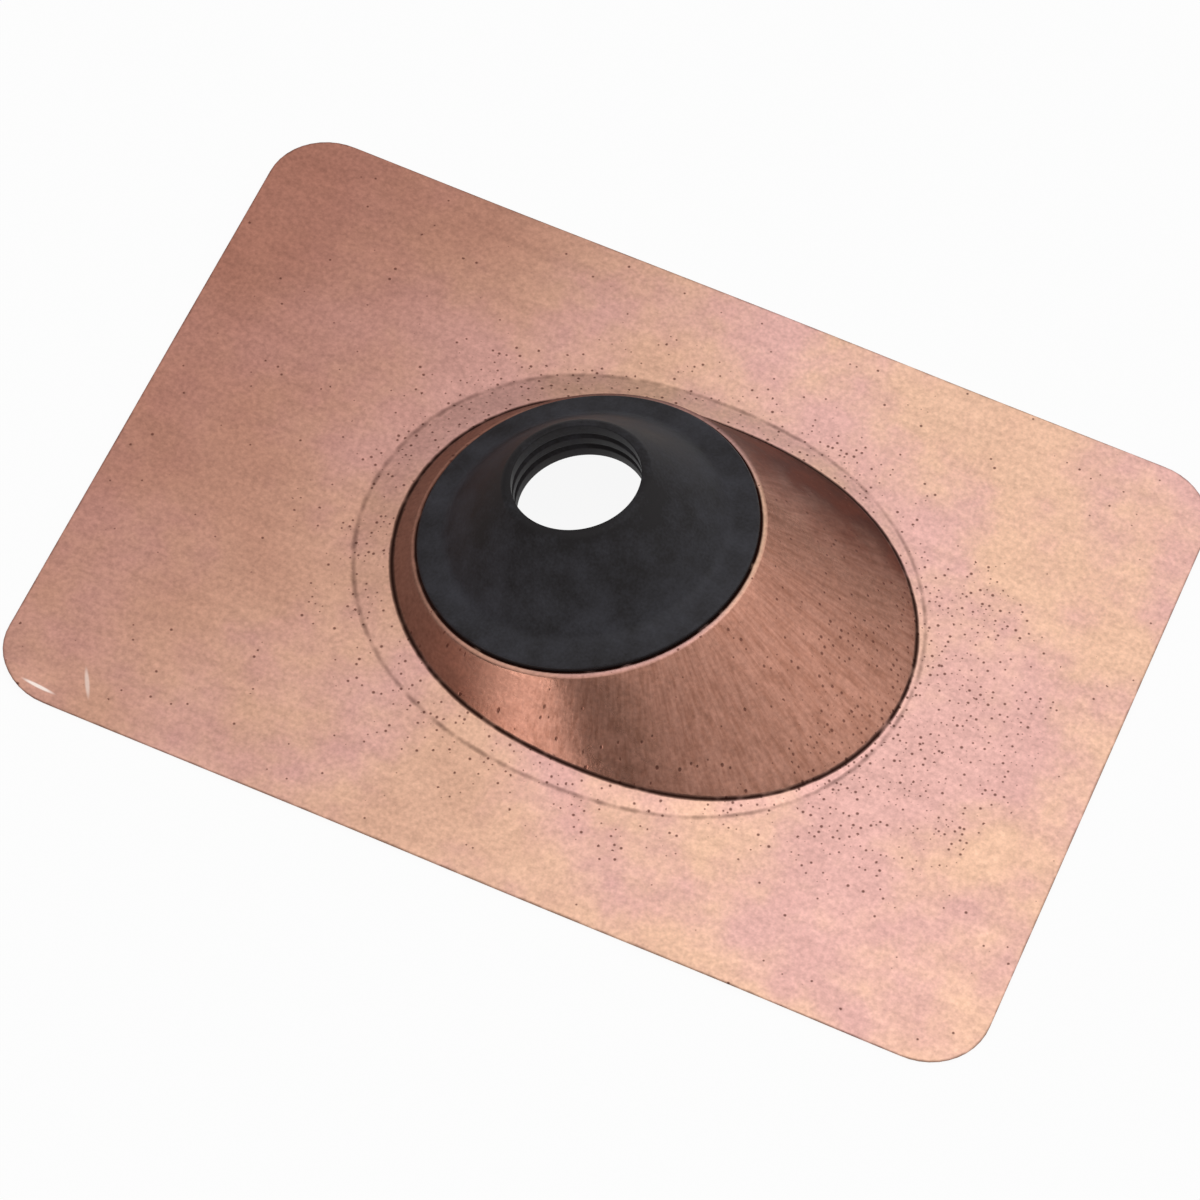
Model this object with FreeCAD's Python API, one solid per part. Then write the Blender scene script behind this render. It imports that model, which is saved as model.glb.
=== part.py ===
import FreeCAD, Part
import math
import os

from FreeCAD import Placement, Rotation, Vector

# A roof flashing for a plumbing vent pipe, in millimetres.
# Two pieces: one drawn copper sheet, with its flat flange, a low ramp and a lopsided cone,
# and one moulded rubber collar whose rim groove is snapped over the edge of the cone's mouth.
# Origin: middle of the flange's underside. +X runs down the roof, +Y across it, +Z up.

# copper sheet
sheet = 0.6
flange_length = 317.5
flange_width = 228.6
flange_corner_radius = 20.0

# mouth of the cone: a flat seat, square to a pipe that stands upright on a pitched roof
roof_pitch_deg = 13.75
seat_radius = 54.3
seat_offset_x = -11.0
seat_low_side_height = 7.3
mouth_radius = 47.0
seat_bend_inside = 0.9

# foot of the cone, measured outward from the seat's edge on each side
cone_run_up_slope = 5.2
cone_run_down_slope = 52.9
cone_run_sideways = 12.4
foot_bend_inside = 1.4

# ramp between the flange and the foot of the cone
ramp_width_up_slope = 12.0
ramp_width_down_slope = 2.0
ramp_width_sideways = 8.3
ramp_rise_up_slope = 2.6
ramp_rise_down_slope = 0.5

# ovals of the drawing die: a side bow of 0 gives straight sides, and more bows them out
side_bow = 0.25
curve_spans = 6
# the sheet's underside is drawn this much smaller, in sheet thicknesses, to keep its wall even
cone_inset = 0.45
ramp_inset = 0.11

# rubber collar, about its own axis, with heights from the seat's upper face
rim_lip_radius = 52.4
rim_lip_thickness = 1.7
rim_wall = 3.0
lower_lip_radius = 50.4
lower_lip_thickness = 2.0
groove_clearance = 0.1
shoulder_radius = 43.5
shoulder_height = 3.4
collar_height = 27.0
collar_wall = 2.4
neck_top_width = 2.4
neck_top_bevel = 1.0
lip_bevel = 0.7

# sealing bore of the collar's neck, with V grooves between its lands
seal_radius = 19.8
seal_length = 14.5
seal_wall = 2.6
seal_groove_depth = 0.8
seal_groove_width = 2.4
seal_groove_count = 2

# search distance for the edges that lie on a wire, and the step for a curve's speed at its ends
on_wire_tolerance = 0.01
small_angle = 0.001

tilt = math.radians(roof_pitch_deg)
seat_height = sheet + seat_low_side_height + seat_radius * math.sin(tilt)
seat_reach = seat_radius * math.cos(tilt)
foot_left = seat_offset_x - seat_reach - cone_run_up_slope
foot_right = seat_offset_x + seat_reach + cone_run_down_slope
foot_half_width = seat_radius + cone_run_sideways


def on_seat(shape):
    """Moves a shape drawn about the Z axis, seat at z = 0, to the tilted seat."""
    seat = Placement(Vector(seat_offset_x, 0, seat_height), Rotation(Vector(0, 1, 0), -roof_pitch_deg))
    shape.Placement = seat.multiply(shape.Placement)
    return shape


def edges_along(shape, wire):
    """Curved edges of a shape that lie on a wire, for makeFillet."""
    found = []
    for edge in shape.Edges:
        middle = edge.valueAt((edge.FirstParameter + edge.LastParameter) / 2)
        on_wire = wire.distToShape(Part.Vertex(middle))[0] < on_wire_tolerance
        if on_wire and not isinstance(edge.Curve, Part.Line):
            found.append(edge)
    return found


def half_wire(point_at):
    """A smooth curve from the +X end round to the -X end, and the straight line back.

    The curve's parameter is the angle, so that a loft between two such wires pairs equal angles.
    """
    angles = [math.pi * step / curve_spans for step in range(curve_spans + 1)]
    points = [point_at(angle) for angle in angles]
    first_speed = point_at(small_angle) - point_at(-small_angle)
    last_speed = point_at(math.pi + small_angle) - point_at(math.pi - small_angle)
    curve = Part.BSplineCurve()
    curve.interpolate(
        Points=points,
        Parameters=angles,
        InitialTangent=first_speed / (2 * small_angle),
        FinalTangent=last_speed / (2 * small_angle),
        Scale=False,
    )
    return Part.Wire([curve.toShape(), Part.makeLine(points[-1], points[0])])


def half_oval(left, right, half_width, height_at):
    """Half an oval with round ends and gently bowed sides. The angle is that of the outward normal."""
    middle = (left + right) / 2
    stretch = (right - left) / 2 - half_width
    softness = math.hypot(1, side_bow) - side_bow

    def point_at(angle):
        flat = math.hypot(math.cos(angle), side_bow)
        reach = half_width + stretch * (flat - side_bow) / softness
        turn = -stretch * math.cos(angle) * math.sin(angle) / flat / softness
        x = middle + reach * math.cos(angle) - turn * math.sin(angle)
        y = reach * math.sin(angle) + turn * math.cos(angle)
        return Vector(x, y, height_at(x))

    return half_wire(point_at)


def foot_height(x):
    """Upper face of the sheet along the foot of the cone, which leans with the ramp's rise."""
    share = (foot_right - x) / (foot_right - foot_left)
    return sheet + ramp_rise_down_slope + (ramp_rise_up_slope - ramp_rise_down_slope) * share


def hill(drop, seat_bend, foot_bend):
    """Ramp and cone as one solid: the sheet's upper face, or its underside when dropped by the sheet."""
    cone_in = drop * cone_inset
    base_in = drop * ramp_inset
    base = half_oval(
        foot_left - ramp_width_up_slope + base_in,
        foot_right + ramp_width_down_slope - base_in,
        foot_half_width + ramp_width_sideways - base_in,
        lambda x: sheet - drop,
    )
    foot = half_oval(
        foot_left + cone_in,
        foot_right - cone_in,
        foot_half_width - cone_in,
        lambda x: foot_height(x) - drop,
    )
    rim = seat_radius - cone_in
    seat = on_seat(half_wire(lambda angle: Vector(rim * math.cos(angle), rim * math.sin(angle), -drop)))
    half = Part.makeLoft([base, foot, seat], True, True)
    half = half.makeFillet(foot_bend, edges_along(half, foot))
    middle_plane = Vector(0, 0, 0), Vector(0, 1, 0)
    whole = half.fuse(half.mirror(*middle_plane)).removeSplitter()
    seat_edges = edges_along(whole, seat) + edges_along(whole, seat.mirror(*middle_plane))
    return whole.makeFillet(seat_bend, seat_edges)


def flashing_base():
    """Flange, ramp and cone of one sheet, open at the mouth."""
    corner = Vector(-flange_length / 2, -flange_width / 2, 0)
    flange = Part.makeBox(flange_length, flange_width, sheet, corner)
    uprights = [edge for edge in flange.Edges if edge.BoundBox.ZLength > sheet / 2]
    flange = flange.makeFillet(flange_corner_radius, uprights)
    upper = flange.fuse(hill(0, seat_bend_inside + sheet, foot_bend_inside))
    underside = hill(sheet, seat_bend_inside, foot_bend_inside + sheet)
    punch = on_seat(Part.makeCylinder(mouth_radius, 4 * sheet, Vector(0, 0, -2 * sheet)))
    return upper.cut(underside).cut(punch).removeSplitter().Solids[0]


def turned(outline):
    """Solid of revolution about Z from a closed outline of (radius, height) corners."""
    corners = [Vector(radius, 0, height) for radius, height in outline]
    face = Part.Face(Part.makePolygon(corners + corners[:1]))
    return face.revolve(Vector(0, 0, 0), Vector(0, 0, 1), 360)


def rubber_collar():
    """Grooved rim, shoulder, low cone and sealing neck, turned about the pipe's axis."""
    groove_radius = mouth_radius - groove_clearance
    rim_inner = groove_radius - rim_wall
    rim_bottom = -sheet - lower_lip_thickness
    neck_outer = seal_radius + seal_wall
    neck_top = seal_radius + neck_top_width
    neck_bottom = collar_height - seal_length
    slope = math.atan2(collar_height - shoulder_height, shoulder_radius - neck_top)

    def underside(radius):
        """The cone's inner face runs parallel to its outer face, one wall below it."""
        outer_face = shoulder_height + (shoulder_radius - radius) * math.tan(slope)
        return outer_face - collar_wall / math.cos(slope)

    outline = [
        (groove_radius, 0),
        (rim_lip_radius, 0),
        (rim_lip_radius, rim_lip_thickness - lip_bevel),
        (rim_lip_radius - lip_bevel, rim_lip_thickness),
        (shoulder_radius, shoulder_height),
        (neck_top + neck_top_bevel * math.cos(slope), collar_height - neck_top_bevel * math.sin(slope)),
        (neck_top - neck_top_bevel, collar_height),
        (seal_radius, collar_height),
    ]
    pitch = seal_length / (seal_groove_count + 1)
    for number in range(seal_groove_count):
        groove_middle = collar_height - pitch * (number + 1)
        outline += [
            (seal_radius, groove_middle + seal_groove_width / 2),
            (seal_radius + seal_groove_depth, groove_middle),
            (seal_radius, groove_middle - seal_groove_width / 2),
        ]
    outline += [
        (seal_radius, neck_bottom),
        (neck_outer, neck_bottom),
        (neck_outer, underside(neck_outer)),
        (rim_inner, underside(rim_inner)),
        (rim_inner, rim_bottom),
        (lower_lip_radius, rim_bottom),
        (lower_lip_radius, -sheet),
        (groove_radius, -sheet),
    ]
    return on_seat(turned(outline))


parts = {
    "flashing_base": flashing_base(),
    "rubber_collar": rubber_collar(),
}

os.makedirs("parts", exist_ok=True)
for name, shape in parts.items():
    shape.exportStep("parts/" + name + ".step")
    box = shape.BoundBox
    print(name, shape.ShapeType, shape.isValid(), "volume", round(shape.Volume), "top", round(box.ZMax, 2))
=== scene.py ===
import bpy
import bmesh
import math
from functools import partial
from mathutils import Matrix, Vector, noise


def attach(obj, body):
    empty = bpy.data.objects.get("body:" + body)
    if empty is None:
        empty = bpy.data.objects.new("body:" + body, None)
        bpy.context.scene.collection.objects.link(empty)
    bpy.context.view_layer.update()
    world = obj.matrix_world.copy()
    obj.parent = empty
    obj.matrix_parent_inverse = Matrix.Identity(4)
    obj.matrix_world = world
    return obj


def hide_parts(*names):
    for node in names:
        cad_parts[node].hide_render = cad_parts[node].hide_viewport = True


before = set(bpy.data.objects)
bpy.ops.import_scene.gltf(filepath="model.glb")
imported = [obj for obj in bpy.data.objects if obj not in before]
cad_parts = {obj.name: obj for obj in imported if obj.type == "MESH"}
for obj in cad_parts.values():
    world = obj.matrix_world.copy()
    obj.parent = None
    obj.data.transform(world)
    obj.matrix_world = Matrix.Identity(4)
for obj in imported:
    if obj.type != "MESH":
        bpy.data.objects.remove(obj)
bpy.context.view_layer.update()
mm = 0.001
print("frame loaded")


# the drawn sheet, in millimetres and degrees; X runs down the roof and Y across it
sheetSizes = {
    "thickness": 0.6,
    "length": 317.5,
    "width": 228.6,
    "cornerRadius": 20.0,
    "pitch": 13.75,           # the seat's tilt, for a pitched roof
    "seatX": -11.0,
    "seatLowSide": 7.3,       # the seat's lowest point above the flange
    "seatRadius": 54.3,
    "mouthRadius": 47.0,
    "runUp": 5.2,             # the foot of the cone, outward from the seat's edge
    "runDown": 52.9,
    "runSide": 12.4,
    "rampUp": 12.0,           # width of the ramp round the foot
    "rampDown": 2.0,
    "rampSide": 8.3,
    "rampRiseUp": 2.6,
    "rampRiseDown": 0.5,
    "sideBow": 0.25,          # 0 would give the ovals straight sides
    "points": 360,            # round each outline
    "wallRows": 12,
    "rampRows": 3,
    "flangeRows": 16,
    "bendSegments": 6,
    "bendRoom": 0.45,         # the most of a run that the bend at its end may take
    "seatBend": 1.5,
    "footBend": 1.4,
    "rampBend": 1.5,
    "shadeRadius": 53.0,       # painted shadow reaches just past the collar's lip
    "seatHighlight": 1.0,            # how strongly the seat's bend is painted as a highlight, and the angle where it is brightest
    "seatHighlightSide": -12,
    "footGrooveWidth": 2.6,   # coined line round the foot of the cone
    "footGrooveDepth": 0.2,
    "footGrooveFill": 0.7,    # under 1 spreads its painted shade towards the brim
    "footScuff": 0.6,
    "rampLineWidth": 2.4,     # painted shade line where the ramp leaves the flange
    "rampLineShade": 0.48,
    "scuffReach": 22.0,       # scuffed band of flange round the ramp
    "edgeShadeWidth": 0.8,         # painted shade line along the flange's edge
    "edgeShadeDarkness": 0.6,
    "edgeInset": 0.02,
    "edgeRound": 0.12,
    "edgeSegments": 2,
    "edgeAngle": 50,          # only edges sharper than this are rounded
    "waveHeight": 0.5,        # how far the flange lifts off flat
    "waveLength": 75.0,
    "waveRaise": 0.35,        # above 0, more of the edge is lifted than lies flat
    "waveStart": 0.6875,      # share of the way out to the flange's edge
    "curlHeight": 1.4,        # lifted corner, up the roof and to the near side
    "curlReach": 20.0,
    "curlInset": 6.0,
}

pitch = math.radians(sheetSizes["pitch"])
seatRise = sheetSizes["seatLowSide"] + sheetSizes["seatRadius"] * math.sin(pitch)
seatMiddle = Vector((sheetSizes["seatX"], 0, sheetSizes["thickness"] + seatRise))
seatPlace = Matrix.Translation(seatMiddle) @ Matrix.Rotation(-pitch, 4, "Y")
seatReach = sheetSizes["seatRadius"] * math.cos(pitch)
footLeft = sheetSizes["seatX"] - seatReach - sheetSizes["runUp"]
footRight = sheetSizes["seatX"] + seatReach + sheetSizes["runDown"]
footHalfWidth = sheetSizes["seatRadius"] + sheetSizes["runSide"]


def seatPoint(radius, angle):
    return seatPlace @ Vector((radius * math.cos(angle), radius * math.sin(angle), 0))


def ovalPoint(left, right, halfWidth, angle):
    # an oval with round ends and gently bowed sides, by the angle that it faces
    bow = sheetSizes["sideBow"]
    stretch = (right - left) / 2 - halfWidth
    softness = math.hypot(1, bow) - bow
    flat = math.hypot(math.cos(angle), bow)
    reach = halfWidth + stretch * (flat - bow) / softness
    turn = -stretch * math.cos(angle) * math.sin(angle) / flat / softness
    x = (left + right) / 2 + reach * math.cos(angle) - turn * math.sin(angle)
    y = reach * math.sin(angle) + turn * math.cos(angle)
    return Vector((x, y, sheetSizes["thickness"]))


def footPoint(angle):
    low = sheetSizes["rampRiseDown"]
    high = sheetSizes["rampRiseUp"]
    point = ovalPoint(footLeft, footRight, footHalfWidth, angle)
    point.z += low + (high - low) * (footRight - point.x) / (footRight - footLeft)
    return point


def rampPoint(angle):
    return ovalPoint(
        footLeft - sheetSizes["rampUp"],
        footRight + sheetSizes["rampDown"],
        footHalfWidth + sheetSizes["rampSide"],
        angle,
    )


def flangePoint(angle):
    # the same share of the rounded oblong's way round as of the full turn
    halfLength = sheetSizes["length"] / 2 - sheetSizes["edgeInset"]
    halfWidth = sheetSizes["width"] / 2 - sheetSizes["edgeInset"]
    corner = sheetSizes["cornerRadius"]
    upright = halfWidth - corner
    arc = corner * math.pi / 2
    level = halfLength - corner
    quarter = upright + arc + level
    share = (angle % (2 * math.pi)) / (math.pi / 2)
    part = int(share) % 4
    along = (share - int(share)) * quarter
    if part % 2:
        along = quarter - along
    if along < upright:
        x, y = halfLength, along
    elif along < upright + arc:
        bend = (along - upright) / corner
        x = level + corner * math.cos(bend)
        y = upright + corner * math.sin(bend)
    else:
        x, y = level - (along - upright - arc), halfWidth
    signX = -1 if part in (1, 2) else 1
    signY = -1 if part in (2, 3) else 1
    return Vector((x * signX, y * signY, sheetSizes["thickness"]))


def evenShares(count):
    return [step / count for step in range(count + 1)]


def bendPoints(before, corner, after, radius, leastWidth):
    # a bend in place of a sharp corner of the section
    back = (before - corner).normalized()
    ahead = (after - corner).normalized()
    halfTurn = (math.pi - back.angle(ahead)) / 2
    room = sheetSizes["bendRoom"] * min((before - corner).length, (after - corner).length)
    reach = min(max(radius * math.tan(halfTurn), leastWidth / 2), room)
    start = corner + back * reach
    end = corner + ahead * reach
    shares = evenShares(sheetSizes["bendSegments"])
    return [start.lerp(corner, t).lerp(corner.lerp(end, t), t) for t in shares]


def runPoints(start, end, rows):
    # evenly spaced points of a straight run, without its two ends
    return [start.lerp(end, share) for share in evenShares(rows)[1:-1]]


def sheetSection(angle):
    # the sheet's upper face from the mouth out to the flange's edge
    # each point comes with three shares: drawn, painted shade and scuffed
    size = sheetSizes
    mouth = seatPoint(size["mouthRadius"], angle)
    shadeEnd = seatPoint(size["shadeRadius"], angle)
    seat = seatPoint(size["seatRadius"], angle)
    foot = footPoint(angle)
    ramp = rampPoint(angle)
    edge = flangePoint(angle)
    seatBend = bendPoints(mouth, seat, foot, size["seatBend"], 0)
    footBend = bendPoints(seat, foot, ramp, size["footBend"], size["footGrooveWidth"])
    rampBend = bendPoints(foot, ramp, edge, size["rampBend"], size["rampLineWidth"])
    edgeShadeStart = edge.lerp(rampBend[-1], size["edgeShadeWidth"] / (edge - rampBend[-1]).length)
    shares = evenShares(size["bendSegments"])

    # the seat's bend is a painted highlight in the flange's colour down the roof, and has the
    # wall's colour and painted shade up the roof
    facing = math.cos(angle - math.radians(size["seatHighlightSide"]))
    paintedHighlight = size["seatHighlight"] * (0.5 + 0.5 * facing)
    # the seat under and just past the collar's lip is painted with shadow
    section = [(mouth, (1 - paintedHighlight, 1, 0)), (shadeEnd, (1 - paintedHighlight, 1, 0))]
    for share, point in zip(shares, seatBend):
        section.append((point, (1 - paintedHighlight * (1 - share), 0, 0)))
    for point in runPoints(seatBend[-1], footBend[0], size["wallRows"]):
        section.append((point, (1, 0, 0)))

    # the groove's shoulders are soft, so that the underside can follow it
    for share, point in zip(shares, footBend):
        sunk = math.sin(math.pi * share)
        lowered = point - Vector((0, 0, size["footGrooveDepth"] * sunk * sunk))
        # painted shade fills the groove
        grooveShade = sunk ** size["footGrooveFill"]
        section.append((lowered, (1 - share, grooveShade, size["footScuff"])))
    for point in runPoints(footBend[-1], rampBend[0], size["rampRows"]):
        section.append((point, (0, 0, 1)))
    # painted shade along the ramp's crease
    for share, point in zip(shares, rampBend):
        section.append((point, (0, size["rampLineShade"] * math.sin(math.pi * share), 1)))
    for point in runPoints(rampBend[-1], edgeShadeStart, size["flangeRows"]) + [edgeShadeStart]:
        scuffed = max(0.0, 1 - (point - ramp).length / size["scuffReach"])
        section.append((point, (0, 0, scuffed)))
    # painted shade darkens the flange's very edge
    section.append((edge, (0, size["edgeShadeDarkness"], 0)))
    return section


def growRing(bm, ring):
    # extrudes the open edge by one row and gives the new row in the same order
    count = len(ring)
    edges = [bm.edges.get((ring[i], ring[(i + 1) % count])) for i in range(count)]
    made = bmesh.ops.extrude_edge_only(bm, edges=edges)["geom"]
    order = {vert: i for i, vert in enumerate(ring)}
    grown = [None] * count
    for vert in (item for item in made if isinstance(item, bmesh.types.BMVert)):
        for edge in vert.link_edges:
            other = edge.other_vert(vert)
            if other in order:
                grown[order[other]] = vert
    return grown


def liftFlange(vert):
    # a hand-sized wave and one lifted corner; the sheet never goes below the roof
    size = sheetSizes
    halfLength = size["length"] / 2
    halfWidth = size["width"] / 2
    wayOut = max(abs(vert.co.x) / halfLength, abs(vert.co.y) / halfWidth)
    fade = max(0.0, min(1.0, (wayOut - size["waveStart"]) / (1 - size["waveStart"])))
    wave = max(0.0, noise.noise(vert.co / size["waveLength"]) + size["waveRaise"])
    corner = Vector((size["curlInset"] - halfLength, size["curlInset"] - halfWidth))
    near = max(0.0, 1 - (vert.co.xy - corner).length / size["curlReach"])
    vert.co.z += wave * size["waveHeight"] * fade + size["curlHeight"] * near * near


def finishPiece(bm, name):
    mesh = bpy.data.meshes.new(name)
    for face in bm.faces:
        face.smooth = True
    bm.to_mesh(mesh)
    bm.free()
    piece = bpy.data.objects.new(name, mesh)
    bpy.context.collection.objects.link(piece)
    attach(piece, "root")
    return piece


def makeSheet():
    bm = bmesh.new()
    zoneLayer = bm.verts.layers.float_vector.new("zones")   # how drawn, how darkened by painted shade, and how scuffed
    fanLayer = bm.verts.layers.float_vector.new("fan")      # way from the pipe, and share of rows
    count = sheetSizes["points"]
    circle = bmesh.ops.create_circle(bm, segments=count, radius=1)["verts"]
    ring = [None] * count
    for vert in circle:
        turn = math.atan2(vert.co.y, vert.co.x) / (2 * math.pi)
        ring[round(turn * count) % count] = vert
    sections = [sheetSection(2 * math.pi * i / count) for i in range(count)]
    rowCount = len(sections[0])
    for row in range(rowCount):
        if row:
            ring = growRing(bm, ring)
        for vert, section in zip(ring, sections):
            vert.co, vert[zoneLayer] = section[row]
            outward = (vert.co.xy - seatMiddle.xy).normalized()
            vert[fanLayer] = (outward.x, outward.y, row / rowCount)
    for vert in bm.verts:
        liftFlange(vert)
    bmesh.ops.scale(bm, vec=(mm, mm, mm), verts=bm.verts)
    bmesh.ops.recalc_face_normals(bm, faces=bm.faces)
    if sum(face.normal.z for face in bm.faces) < 0:
        bmesh.ops.reverse_faces(bm, faces=bm.faces)
    piece = finishPiece(bm, "drawn_copper_sheet")
    wall = piece.modifiers.new("thickness", "SOLIDIFY")
    wall.thickness = sheetSizes["thickness"] * mm
    wall.offset = -1
    wall.use_even_offset = True
    wall.use_quality_normals = True
    edge = piece.modifiers.new("edge", "BEVEL")
    edge.width = sheetSizes["edgeRound"] * mm
    edge.segments = sheetSizes["edgeSegments"]
    edge.limit_method = "ANGLE"
    edge.angle_limit = math.radians(sheetSizes["edgeAngle"])
    edge.harden_normals = True
    return piece


# the moulded collar, in millimetres about the pipe's axis, with heights from the seat
collarSizes = {
    "grooveRadius": 46.9,
    "lipRadius": 52.4,
    "lipHeight": 1.7,
    "lowerLipRadius": 50.4,
    "lowerLipHeight": -2.6,
    "rimInner": 43.9,
    "shoulderRadius": 43.5,
    "shoulderHeight": 3.4,
    "height": 27.0,
    "wall": 2.4,
    "neckTop": 22.2,
    "neckOuter": 22.4,
    "neckBottom": 12.5,
    "sealRadius": 19.8,
    "sealPitch": 14.5 / 3,    # the sealing length, cut in three by two V grooves
    "sealGrooves": 2,
    "sealGrooveDepth": 0.8,
    "sealGrooveWidth": 2.4,
    "roundingSegments": 6,
    "steps": 180,
    "weld": 0.001,
    "dustHeight": 7.0,        # how far from the shoulder's height dust settles
    # painted shade blackens the lip's side from this far below its top
    "shadeBelowLip": 0.4,
}


def makeCollar():
    size = collarSizes
    climb = size["height"] - size["shoulderHeight"]
    slope = math.atan2(climb, size["shoulderRadius"] - size["neckTop"])

    def underside(radius):
        outerFace = size["shoulderHeight"] + (size["shoulderRadius"] - radius) * math.tan(slope)
        return outerFace - size["wall"] / math.cos(slope)

    thickness = sheetSizes["thickness"]
    # radius, height and rounding of each corner of the section
    corners = [
        (size["grooveRadius"], 0, 0),
        (size["lipRadius"], 0, 0.2),
        (size["lipRadius"], size["lipHeight"], 0.8),
        (size["shoulderRadius"], size["shoulderHeight"], 1.8),
        (size["neckTop"], size["height"], 1.3),
        (size["sealRadius"], size["height"], 0.4),
    ]
    for number in range(size["sealGrooves"]):
        middle = size["height"] - size["sealPitch"] * (number + 1)
        corners += [
            (size["sealRadius"], middle + size["sealGrooveWidth"] / 2, 0.25),
            (size["sealRadius"] + size["sealGrooveDepth"], middle, 0.3),
            (size["sealRadius"], middle - size["sealGrooveWidth"] / 2, 0.25),
        ]
    corners += [
        (size["sealRadius"], size["neckBottom"], 0.5),
        (size["neckOuter"], size["neckBottom"], 0.5),
        (size["neckOuter"], underside(size["neckOuter"]), 0.4),
        (size["rimInner"], underside(size["rimInner"]), 0.8),
        (size["rimInner"], size["lowerLipHeight"], 0.5),
        (size["lowerLipRadius"], size["lowerLipHeight"], 0.7),
        (size["lowerLipRadius"], -thickness, 0.15),
        (size["grooveRadius"], -thickness, 0),
    ]
    bm = bmesh.new()
    dustAndShadeLayer = bm.verts.layers.float.new("dust")
    verts = [bm.verts.new((radius, 0, height)) for radius, height, _ in corners]
    for i in range(len(verts)):
        bm.edges.new((verts[i - 1], verts[i]))
    for vert, (_, _, rounding) in zip(verts, corners):
        if rounding:
            bmesh.ops.bevel(
                bm,
                geom=[vert],
                offset=rounding,
                offset_type="OFFSET",
                affect="VERTICES",
                segments=size["roundingSegments"],
                profile=0.5,
                material=-1,
            )
    bmesh.ops.spin(
        bm,
        geom=bm.verts[:] + bm.edges[:],
        cent=(0, 0, 0),
        axis=(0, 0, 1),
        angle=2 * math.pi,
        steps=size["steps"],
        use_merge=True,
    )
    bmesh.ops.remove_doubles(bm, verts=bm.verts, dist=size["weld"])
    bmesh.ops.recalc_face_normals(bm, faces=bm.faces)
    for vert in bm.verts:
        # dust settles on the rim and the foot of the rubber cone; the lip's side is marked -1,
        # which paints it black as shade
        settled = max(0.0, 1 - abs(vert.co.z - size["shoulderHeight"]) / size["dustHeight"])
        vert[dustAndShadeLayer] = settled if vert.co.z > size["lipHeight"] - size["shadeBelowLip"] else -1.0
    bmesh.ops.transform(bm, matrix=Matrix.Scale(mm, 4) @ seatPlace, verts=bm.verts)
    return finishPiece(bm, "moulded_rubber_collar")


copperSheet = makeSheet()
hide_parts("flashing_base")
print("sheet made:", len(copperSheet.data.polygons), "faces")
rubberCollar = makeCollar()
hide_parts("rubber_collar")
print("collar made:", len(rubberCollar.data.polygons), "faces")


def linearColour(code):
    # sRGB hex to the linear values that shaders take
    channels = [int(code[i:i + 2], 16) / 255 for i in (1, 3, 5)]
    return [c / 12.92 if c < 0.04045 else ((c + 0.055) / 1.055) ** 2.4 for c in channels] + [1.0]


def addNode(tree, kind, settings=None, inputs=None):
    # an input takes a plain value, a socket, or a node, whose first live output is then linked
    node = tree.nodes.new("ShaderNode" + kind)
    for name, value in (settings or {}).items():
        setattr(node, name, value)
    for name, value in (inputs or {}).items():
        if isinstance(value, bpy.types.Node):
            value = next(output for output in value.outputs if output.enabled)
        if isinstance(value, bpy.types.NodeSocket):
            tree.links.new(value, node.inputs[name])
        else:
            node.inputs[name].default_value = value
    return node


def perMetre(size):
    # noise scale for a pattern whose features are this many millimetres across
    return 1 / (size * mm)


def newMaterial(name):
    material = bpy.data.materials.new(name)
    material.use_nodes = True
    material.node_tree.nodes.clear()
    return material, partial(addNode, material.node_tree)


# settings that many nodes share
smooth = {"interpolation_type": "SMOOTHSTEP"}
colours = {"data_type": "RGBA"}
adding = {"operation": "ADD"}
product = {"operation": "MULTIPLY"}
productAndSum = {"operation": "MULTIPLY_ADD"}
larger = {"operation": "MAXIMUM"}
vectorLength = {"operation": "LENGTH"}
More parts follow.
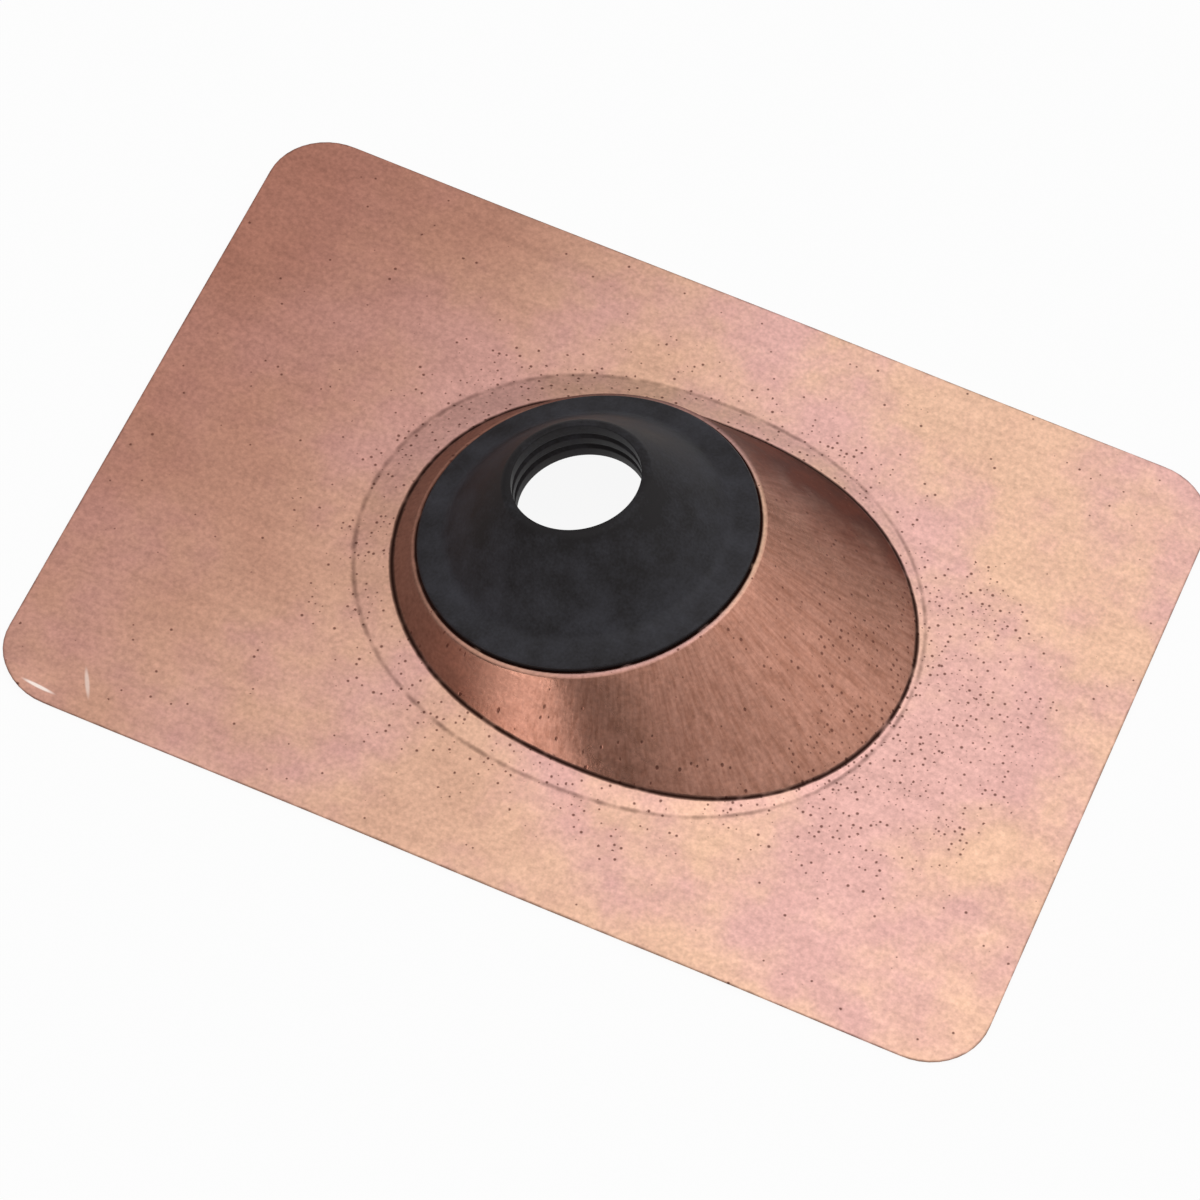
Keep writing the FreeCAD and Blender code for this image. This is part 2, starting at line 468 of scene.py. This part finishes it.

# mill-finish copper sheet, pressed cold: a dull pinkish metal, clouded by handling and air, browner
# up the roof, with draw lines down the cone and pits round its foot; painted shade darkens the
# coined lines, the seat round the collar, the flange's edge and the cone's upper and far sides, and
# painted highlights brighten the seat's bend and one corner
copperLook = {
    "peach": "#F0C3A7",
    "rose": "#E9B7AE",
    "brown": "#AD7766",
    # the wall's tones are darker than the flange's, partly as painted shade
    "wallPale": "#C08B78",
    "wallBrown": "#A5725F",
    # tarnish colours that paint shade on the cone's upper and far sides
    "tarnishShade": "#3C130B",
    "thinTarnishShade": "#5C2A1D",
    # painted highlights at the lifted corner
    "cornerHighlight": "#FFF1E8",
    "pit": "#6B4238",
    # painted shade for the coined lines, the collar's edge and the flange's edge
    "paintedShade": "#301812",
    "cloud": 75.0,              # mm across a cloud of tarnish
    "patch": 16.0,              # mm across a handling mark
    "rolling": 4.0,             # mm across a rolling line, and how many times longer it is
    "rollingStretch": 8,
    "grain": 1.3,               # mm across a grain, drawn coarse enough to show
    "shadeBreakup": 5.0,               # mm across a break in the painted shade of a coined line
    "fineDetail": 0.6,          # how strongly the finer marks of a pattern show
    "brownEnd": -150,           # mm along the roof where the sheet is brownest, and where palest
    "paleEnd": 130,
    "cornerLean": 3.2,          # leans the brown towards the far upper corner
    "cloudShift": 130,          # mm that a cloud moves the brown
    "patchInHue": 0.35,
    "roseFrom": (0.55, 0.80),   # noise levels where rose starts and is full
    "rollingShade": 0.26,       # span of each pattern's shading, from darkest to palest
    "grainShade": 0.55,
    "streaksRound": 330,        # draw lines round the cone
    "streaksDown": 27,          # breaks down the whole section, a third of which is the cone
    "dragged": (-28, 15),       # mm along the roof where draw lines start and are full
    "undragged": 0.48,          # tone where there are none
    "streakTones": (0.20, 0.74),    # noise levels of the darkest and palest lines
    "farSide": (27, 58),        # mm across the roof where painted shade starts and is full
    "farShare": 0.95,           # the most painted shade, in tarnish colours, on that side
    "upperSide": (-40, -16),    # mm along the roof where it is full and ends
    "upperShare": 0.42,
    "raggedBy": 24,             # mm that the painted shade's edge wanders, and where from
    "raggedShift": -6,
    "thinFrom": (0.38, 0.62),   # noise levels where the painted shade begins to thin and is thinnest
    "thinShare": 0.8,
    "pitPitch": 2.2,            # mm between pits
    "pitRadius": 0.50,
    "pitShrink": 0.9,           # the smallest pits are this much of the radius smaller
    "pitEdge": (0.5, 1.4),      # from full to gone, in radii
    "pitField": (100, -5),      # mm, middle of the pitted field down the roof, and its half sizes
    "pitFieldReach": (31, 53),
    "pitFieldHeight": 1000,     # so tall that height makes no difference
    "pitFieldEdge": (0.7, 1.5),
    "pitFieldShare": 0.75,      # share of places that have a pit in the field, and elsewhere
    "pitsAnywhere": 0.03,
    "pitsOnWall": 0.10,
    "pitsOnRamp": 0.38,
    "clumpsFrom": (0.35, 0.62),     # noise levels, and how many pits each lets through
    "clumpsShare": (0.35, 1.3),
    "pitDarkness": 0.85,
    "pitDepth": 2.4,            # in grain depths
    "shadeInLine": 0.42,         # pull of the line over the noise
    "shadeFrom": (0.25, 0.90),   # levels where painted shade starts and is full
    "cornerHighlights": (                # painted highlights, in mm and degrees: middle, half sizes, turn, strength
        (-141.5, -110.0, 6.5, 0.8, -3, 0.9),
        (-129.0, -102.5, 6.5, 0.9, -61, 0.45),
    ),
    "cornerHighlightEdge": (0.4, 1.0),   # from full to gone, in half sizes
    "roughness": 0.38,
    "wallRoughness": 0.28,
    "handledFrom": (0.3, 0.7),  # noise levels, and what handling adds to the roughness
    "handledRoughness": (-0.04, 0.06),
    "tarnishShadeRoughness": 0.2,       # added where tarnish colours paint shade, and where painted shade darkens the lines
    "shadeRoughness": 0.3,
    "tarnishShadeSpecular": 0.15,       # the tarnish colours that paint shade are dull, bare copper takes nothing from this
    "dentDepth": 0.15,          # mm
    "grainDepth": 0.025,
    "streakDepth": 0.03,
}


def makeCopper():
    look = copperLook
    tint = {name: linearColour(code) for name, code in look.items() if isinstance(code, str)}
    material, add = newMaterial("millFinishCopper")
    coords = add("TexCoord").outputs["Object"]
    axes = add("SeparateXYZ", inputs={0: coords}).outputs
    zones = add("Attribute", {"attribute_name": "zones"}).outputs["Vector"]
    # the middle share is where painted shade darkens the sheet
    drawn, shadeShare, scuffed = add("SeparateXYZ", inputs={0: zones}).outputs
    fan = add("Attribute", {"attribute_name": "fan"}).outputs["Vector"]
    fine = {"Roughness": look["fineDetail"]}
    coarse = {"Detail": 1.0}
    cloud = add("TexNoise", inputs={"Vector": coords, "Scale": perMetre(look["cloud"])})
    patch = add("TexNoise", inputs={"Vector": coords, "Scale": perMetre(look["patch"]), **fine})
    grain = add("TexNoise", inputs={"Vector": coords, "Scale": perMetre(look["grain"]), **coarse})
    shadeBreakup = add("TexNoise", inputs={"Vector": coords, "Scale": perMetre(look["shadeBreakup"]), **coarse})
    stretched = add("Mapping", inputs={
        "Vector": coords,
        "Scale": (1 / look["rollingStretch"], 1, 1),
    })
    rolling = add("TexNoise", inputs={
        "Vector": stretched,
        "Scale": perMetre(look["rolling"]),
        **fine,
    })

    # the flange: peach and rose clouds, browner towards the upper end and its far corner
    corner = add("Math", product, {0: axes["X"], 1: axes["Y"]})
    leant = add("Math", productAndSum, {0: corner, 1: look["cornerLean"], 2: axes["X"]})
    clouded = add("Math", productAndSum, {0: cloud, 1: look["cloudShift"] * mm, 2: leant})
    tone = add("MapRange", smooth, {
        "Value": clouded,
        "From Min": look["brownEnd"] * mm,
        "From Max": look["paleEnd"] * mm,
    })
    patchy = add("Math", productAndSum, {0: patch, 1: look["patchInHue"], 2: cloud})
    hue = add("MapRange", smooth, {
        "Value": patchy,
        "From Min": look["roseFrom"][0],
        "From Max": look["roseFrom"][1],
    })
    pale = add("Mix", colours, {0: hue, 6: tint["peach"], 7: tint["rose"]})
    flange = add("Mix", colours, {0: tone, 6: tint["brown"], 7: pale})

    # draw lines fan out from the pipe down the cone, and show on its long side
    linesPerUnit = look["streaksRound"] / (2 * math.pi)
    lines = add("Mapping", inputs={
        "Vector": fan,
        "Scale": (1, 1, look["streaksDown"] / linesPerUnit),
    })
    drag = add("TexNoise", inputs={"Vector": lines, "Scale": linesPerUnit, **fine})
    longSide = add("MapRange", smooth, {
        "Value": axes["X"],
        "From Min": look["dragged"][0] * mm,
        "From Max": look["dragged"][1] * mm,
    })
    streak = add("Mix", inputs={0: longSide, 2: look["undragged"], 3: drag})
    streakTone = add("MapRange", smooth, {
        "Value": streak,
        "From Min": look["streakTones"][0],
        "From Max": look["streakTones"][1],
    })
    bare = add("Mix", colours, {0: streakTone, 6: tint["wallBrown"], 7: tint["wallPale"]})

    # tarnish colours paint shade on the upper and far sides of the cone
    ragged = add("Math", productAndSum, {
        0: patch,
        1: look["raggedBy"] * mm,
        2: look["raggedShift"] * mm,
    })
    acrossRoof = add("Math", adding, {0: axes["Y"], 1: ragged})
    alongRoof = add("Math", adding, {0: axes["X"], 1: ragged})
    farSide = add("MapRange", smooth, {
        "Value": acrossRoof,
        "From Min": look["farSide"][0] * mm,
        "From Max": look["farSide"][1] * mm,
        "To Max": look["farShare"],
    })
    upperSide = add("MapRange", smooth, {
        "Value": alongRoof,
        "From Min": look["upperSide"][0] * mm,
        "From Max": look["upperSide"][1] * mm,
        "To Min": look["upperShare"],
        "To Max": 0.0,
    })
    shaded = add("Math", larger, {0: farSide, 1: upperSide})
    tarnishAndShade = add("Math", product, {0: shaded, 1: drawn})
    thin = add("MapRange", smooth, {
        "Value": patch,
        "From Min": look["thinFrom"][0],
        "From Max": look["thinFrom"][1],
        "To Max": look["thinShare"],
    })
    tarnishShadeColour = add("Mix", colours, {0: thin, 6: tint["tarnishShade"], 7: tint["thinTarnishShade"]})
    wall = add("Mix", colours, {0: shaded, 6: bare, 7: tarnishShadeColour})
    plain = add("Mix", colours, {0: drawn, 6: flange, 7: wall})

    # rolling lines and grain lighten and darken the colour, and leave its mean as it is
    meanShade = 1 - (look["rollingShade"] + look["grainShade"]) / 2
    rolled = add("Math", productAndSum, {0: rolling, 1: look["rollingShade"], 2: meanShade})
    shade = add("Math", productAndSum, {0: grain, 1: look["grainShade"], 2: rolled})
    grained = add("VectorMath", {"operation": "SCALE"}, {0: plain, "Scale": shade})

    # pits crowd in a field down the roof from the cone, and thin out round the ramp
    fieldReach = (*look["pitFieldReach"], look["pitFieldHeight"])
    field = add("Mapping", {"vector_type": "TEXTURE"}, {
        "Vector": coords,
        "Location": [value * mm for value in (*look["pitField"], 0)],
        "Scale": [value * mm for value in fieldReach],
    })
    away = add("VectorMath", vectorLength, {0: field})
    inField = add("MapRange", smooth, {
        "Value": away,
        "From Min": look["pitFieldEdge"][0],
        "From Max": look["pitFieldEdge"][1],
        "To Min": look["pitFieldShare"],
        "To Max": 0.0,
    })
    onWall = add("Math", productAndSum, {
        0: drawn,
        1: look["pitsOnWall"],
        2: look["pitsAnywhere"],
    })
    onRamp = add("Math", productAndSum, {0: scuffed, 1: look["pitsOnRamp"], 2: onWall})
    crowd = add("Math", larger, {0: inField, 1: onRamp})
    clumps = add("MapRange", smooth, {
        "Value": patch,
        "From Min": look["clumpsFrom"][0],
        "From Max": look["clumpsFrom"][1],
        "To Min": look["clumpsShare"][0],
        "To Max": look["clumpsShare"][1],
    })
    chance = add("Math", product, {0: crowd, 1: clumps})
    cells = add("TexVoronoi", {"voronoi_dimensions": "2D"}, {
        "Vector": coords,
        "Scale": perMetre(look["pitPitch"]),
    }).outputs
    draws = add("SeparateColor", inputs={0: cells["Color"]}).outputs
    pitted = add("Math", {"operation": "LESS_THAN"}, {0: draws[0], 1: chance})
    radius = look["pitRadius"] / look["pitPitch"]
    fromPit = add("Math", productAndSum, {
        0: draws[1],
        1: radius * look["pitShrink"],
        2: cells["Distance"],
    })
    dot = add("MapRange", smooth, {
        "Value": fromPit,
        "From Min": radius * look["pitEdge"][0],
        "From Max": radius * look["pitEdge"][1],
        "To Min": 1.0,
        "To Max": 0.0,
    })
    hollow = add("Math", product, {0: dot, 1: pitted})
    darkened = add("Math", product, {0: hollow, 1: look["pitDarkness"]})
    spotted = add("Mix", colours, {0: darkened, 6: grained, 7: tint["pit"]})

    # painted shade darkens the coined lines, the seat round the collar's lip and the flange's edge,
    # thinner where the noise is low
    brokenShade = add("Math", productAndSum, {0: shadeShare, 1: look["shadeInLine"], 2: shadeBreakup})
    kept = add("MapRange", smooth, {
        "Value": brokenShade,
        "From Min": look["shadeFrom"][0],
        "From Max": look["shadeFrom"][1],
    })
    paintedShade = add("Math", {"operation": "MULTIPLY", "use_clamp": True}, {0: shadeShare, 1: kept})
    colour = add("Mix", colours, {0: paintedShade, 6: spotted, 7: tint["paintedShade"]})

    # painted highlights at the lifted corner, where its bends catch the light
    for middleX, middleY, halfLength, halfWidth, turn, strength in look["cornerHighlights"]:
        highlightPlace = add("Mapping", {"vector_type": "TEXTURE"}, {
            "Vector": coords,
            "Location": (middleX * mm, middleY * mm, 0),
            "Rotation": (0, 0, math.radians(turn)),
            "Scale": (halfLength * mm, halfWidth * mm, 1),
        })
        distance = add("VectorMath", vectorLength, {0: highlightPlace})
        amount = add("MapRange", smooth, {
            "Value": distance,
            "From Min": look["cornerHighlightEdge"][0],
            "From Max": look["cornerHighlightEdge"][1],
            "To Min": strength,
            "To Max": 0.0,
        })
        colour = add("Mix", colours, {0: amount, 6: colour, 7: tint["cornerHighlight"]})

    handled = add("MapRange", smooth, {
        "Value": patch,
        "From Min": look["handledFrom"][0],
        "From Max": look["handledFrom"][1],
        "To Min": look["roughness"] + look["handledRoughness"][0],
        "To Max": look["roughness"] + look["handledRoughness"][1],
    })
    smoother = add("Math", productAndSum, {
        0: drawn,
        1: look["wallRoughness"] - look["roughness"],
        2: handled,
    })
    roughenedByTarnishShade = add("Math", productAndSum, {0: tarnishAndShade, 1: look["tarnishShadeRoughness"], 2: smoother})
    roughness = add("Math", productAndSum, {0: paintedShade, 1: look["shadeRoughness"], 2: roughenedByTarnishShade})
    metallic = add("MapRange", inputs={"Value": tarnishAndShade, "To Min": 1.0, "To Max": 0.0})

    # the sheet is not quite flat: soft dents, then grain and pits, then draw lines on the wall
    sunk = add("Math", product, {0: hollow, 1: look["pitDepth"]})
    relief = add("Math", {"operation": "SUBTRACT"}, {0: grain, 1: sunk})
    lined = add("Math", product, {0: streak, 1: drawn})
    dents = add("Bump", inputs={"Height": patch, "Distance": look["dentDepth"] * mm})
    pits = add("Bump", inputs={
        "Height": relief,
        "Distance": look["grainDepth"] * mm,
        "Normal": dents,
    })
    normal = add("Bump", inputs={
        "Height": lined,
        "Distance": look["streakDepth"] * mm,
        "Normal": pits,
    })
    surface = add("BsdfPrincipled", inputs={
        "Base Color": colour,
        "Metallic": metallic,
        "Roughness": roughness,
        "Specular IOR Level": look["tarnishShadeSpecular"],
        "Normal": normal,
    })
    add("OutputMaterial", inputs={"Surface": surface})
    return material


# moulded synthetic rubber: near black with a soft sheen, greyed by dust round the rim, never
# glossy, and painted black as shade on the lip's side
rubberLook = {
    "black": "#171315",
    "dust": "#45454C",
    "dustPatch": 11.0,          # mm across a patch of dust
    "dustFine": (4.0, 0.6),     # its detail, and how strongly that shows
    "grain": 0.9,               # mm
    "grainDepth": 0.015,
    "grainInDust": 0.3,
    "settledInDust": 0.28,
    "dustFrom": (0.62, 1.15),   # levels where dust starts and is full
    "dustShare": 0.62,
    "roughness": 0.52,
    "dustyFrom": (0.3, 0.7),    # noise levels, and what dust adds to the roughness
    "dustyRoughness": (-0.05, 0.1),
    "specular": 0.25,           # a filled rubber soaks up more light than a clear plastic
}


def makeRubber():
    look = rubberLook
    material, add = newMaterial("mouldedBlackRubber")
    coords = add("TexCoord").outputs["Object"]
    settled = add("Attribute", {"attribute_name": "dust"}).outputs["Fac"]
    patch = add("TexNoise", inputs={
        "Vector": coords,
        "Scale": perMetre(look["dustPatch"]),
        "Detail": look["dustFine"][0],
        "Roughness": look["dustFine"][1],
    })
    grain = add("TexNoise", inputs={
        "Vector": coords,
        "Scale": perMetre(look["grain"]),
        "Detail": 1.0,
    })
    speckled = add("Math", productAndSum, {0: grain, 1: look["grainInDust"], 2: patch})
    # the lip's side, marked -1, stays free of dust, its plain black painting shade
    gathered = add("Math", productAndSum, {0: settled, 1: look["settledInDust"], 2: speckled})
    dusty = add("MapRange", inputs={
        "Value": gathered,
        "From Min": look["dustFrom"][0],
        "From Max": look["dustFrom"][1],
        "To Max": look["dustShare"],
    })
    colour = add("Mix", colours, {
        0: dusty,
        6: linearColour(look["black"]),
        7: linearColour(look["dust"]),
    })
    roughness = add("MapRange", inputs={
        "Value": patch,
        "From Min": look["dustyFrom"][0],
        "From Max": look["dustyFrom"][1],
        "To Min": look["roughness"] + look["dustyRoughness"][0],
        "To Max": look["roughness"] + look["dustyRoughness"][1],
    })
    normal = add("Bump", inputs={"Height": grain, "Distance": look["grainDepth"] * mm})
    surface = add("BsdfPrincipled", inputs={
        "Base Color": colour,
        "Roughness": roughness,
        "Specular IOR Level": look["specular"],
        "Normal": normal,
    })
    add("OutputMaterial", inputs={"Surface": surface})
    return material


for piece, node, material in (
    (copperSheet, "flashing_base", makeCopper()),
    (rubberCollar, "rubber_collar", makeRubber()),
):
    piece.data.materials.append(material)
    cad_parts[node].data.materials.clear()
    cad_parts[node].data.materials.append(material)
print("materials made")


# studio in metres: a pale floor, a sky that dims towards the horizon, and two soft boxes
studio = {
    "floorSize": 40.0,
    "floorDrop": 0.4 * mm,      # under the sheet, so that the two faces never meet
    "floorColour": "#F2F2F2",
    "floorRoughness": 0.9,
    "floorGlow": 0.92,
    "zenith": 0.95,
    "horizon": 0.10,
    "skyFrom": (0.12, 0.85),            # heights where horizon ends and zenith starts
    "windowFrom": (0.74, 0.58, 0.34),   # way to the brighter side of the room
    "windowSpread": 0.60,               # cosine of the angle where it begins
    "windowLevel": 0.47,
    "softBoxes": (                      # name, place, target, size and power
        ("overhead_box", (0.25, 0.35, 1.5), (0, 0, 0), (1.0, 0.8), 0.9),
        ("side_box", (-0.29, -0.95, 0.08), (-0.02, -0.03, 0.02), (0.42, 0.3), 0.95),
    ),
}


def makeFloor():
    bm = bmesh.new()
    bmesh.ops.create_grid(bm, x_segments=1, y_segments=1, size=studio["floorSize"] / 2)
    bmesh.ops.translate(bm, vec=(0, 0, -studio["floorDrop"]), verts=bm.verts)
    mesh = bpy.data.meshes.new("studio_floor")
    bm.to_mesh(mesh)
    bm.free()
    floor = bpy.data.objects.new("studio_floor", mesh)
    bpy.context.collection.objects.link(floor)
    material, add = newMaterial("paleStudioFloor")
    # white to the camera, also where it shows through the collar
    path = add("LightPath").outputs
    seen = add("Math", larger, {0: path["Is Camera Ray"], 1: path["Is Glossy Ray"]})
    shown = add("Math", larger, {0: seen, 1: path["Is Transmission Ray"]})
    share = add("Math", product, {0: shown, 1: studio["floorGlow"]})
    paper = add("BsdfPrincipled", inputs={
        "Base Color": linearColour(studio["floorColour"]),
        "Roughness": studio["floorRoughness"],
    })
    glow = add("Emission", inputs={"Color": (1, 1, 1, 1), "Strength": 1.0})
    surface = add("MixShader", inputs={0: share, 1: paper, 2: glow})
    add("OutputMaterial", inputs={"Surface": surface})
    mesh.materials.append(material)


def makeSky():
    world = bpy.data.worlds.new("studioSky")
    bpy.context.scene.world = world
    world.use_nodes = True
    world.node_tree.nodes.clear()
    add = partial(addNode, world.node_tree)
    coords = add("TexCoord").outputs["Generated"]
    height = add("SeparateXYZ", inputs={0: coords}).outputs["Z"]
    level = add("MapRange", smooth, {
        "Value": height,
        "From Min": studio["skyFrom"][0],
        "From Max": studio["skyFrom"][1],
        "To Min": studio["horizon"],
        "To Max": studio["zenith"],
    })
    facing = add("VectorMath", {"operation": "DOT_PRODUCT"}, {
        0: coords,
        1: Vector(studio["windowFrom"]).normalized(),
    })
    window = add("MapRange", smooth, {
        "Value": facing,
        "From Min": studio["windowSpread"],
        "From Max": 1.0,
        "To Max": studio["windowLevel"],
    })
    both = add("Math", adding, {0: level, 1: window})
    sky = add("Background", inputs={"Color": (1, 1, 1, 1), "Strength": both})
    add("OutputWorld", inputs={"Surface": sky})


def makeSoftBox(name, place, target, size, power):
    lamp = bpy.data.lights.new(name, "AREA")
    lamp.shape = "RECTANGLE"
    lamp.size, lamp.size_y = size
    lamp.energy = power
    box = bpy.data.objects.new(name, lamp)
    bpy.context.collection.objects.link(box)
    box.location = place
    box.rotation_euler = (Vector(target) - Vector(place)).to_track_quat("-Z", "Y").to_euler()


makeFloor()
makeSky()
for softBox in studio["softBoxes"]:
    makeSoftBox(*softBox)
print("studio made")

# the photograph's own viewpoint, fitted from the sheet's corners and the collar's ovals
cameraView = {
    "place": (0.24812, -0.93002, 1.49626),
    "turns": ((15.169, "Z"), (32.561, "X"), (9.078, "Z")),   # heading, tilt and roll in degrees
    "lens": 175.0,
    "sensor": 36.0,
}
cameraData = bpy.data.cameras.new("photo_view")
cameraData.lens = cameraView["lens"]
cameraData.sensor_width = cameraView["sensor"]
camera = bpy.data.objects.new("photo_view", cameraData)
bpy.context.collection.objects.link(camera)
view = Matrix.Translation(cameraView["place"])
for angle, axis in cameraView["turns"]:
    view = view @ Matrix.Rotation(math.radians(angle), 4, axis)
camera.matrix_world = view
bpy.context.scene.camera = camera
bpy.context.scene.view_settings.view_transform = "Standard"
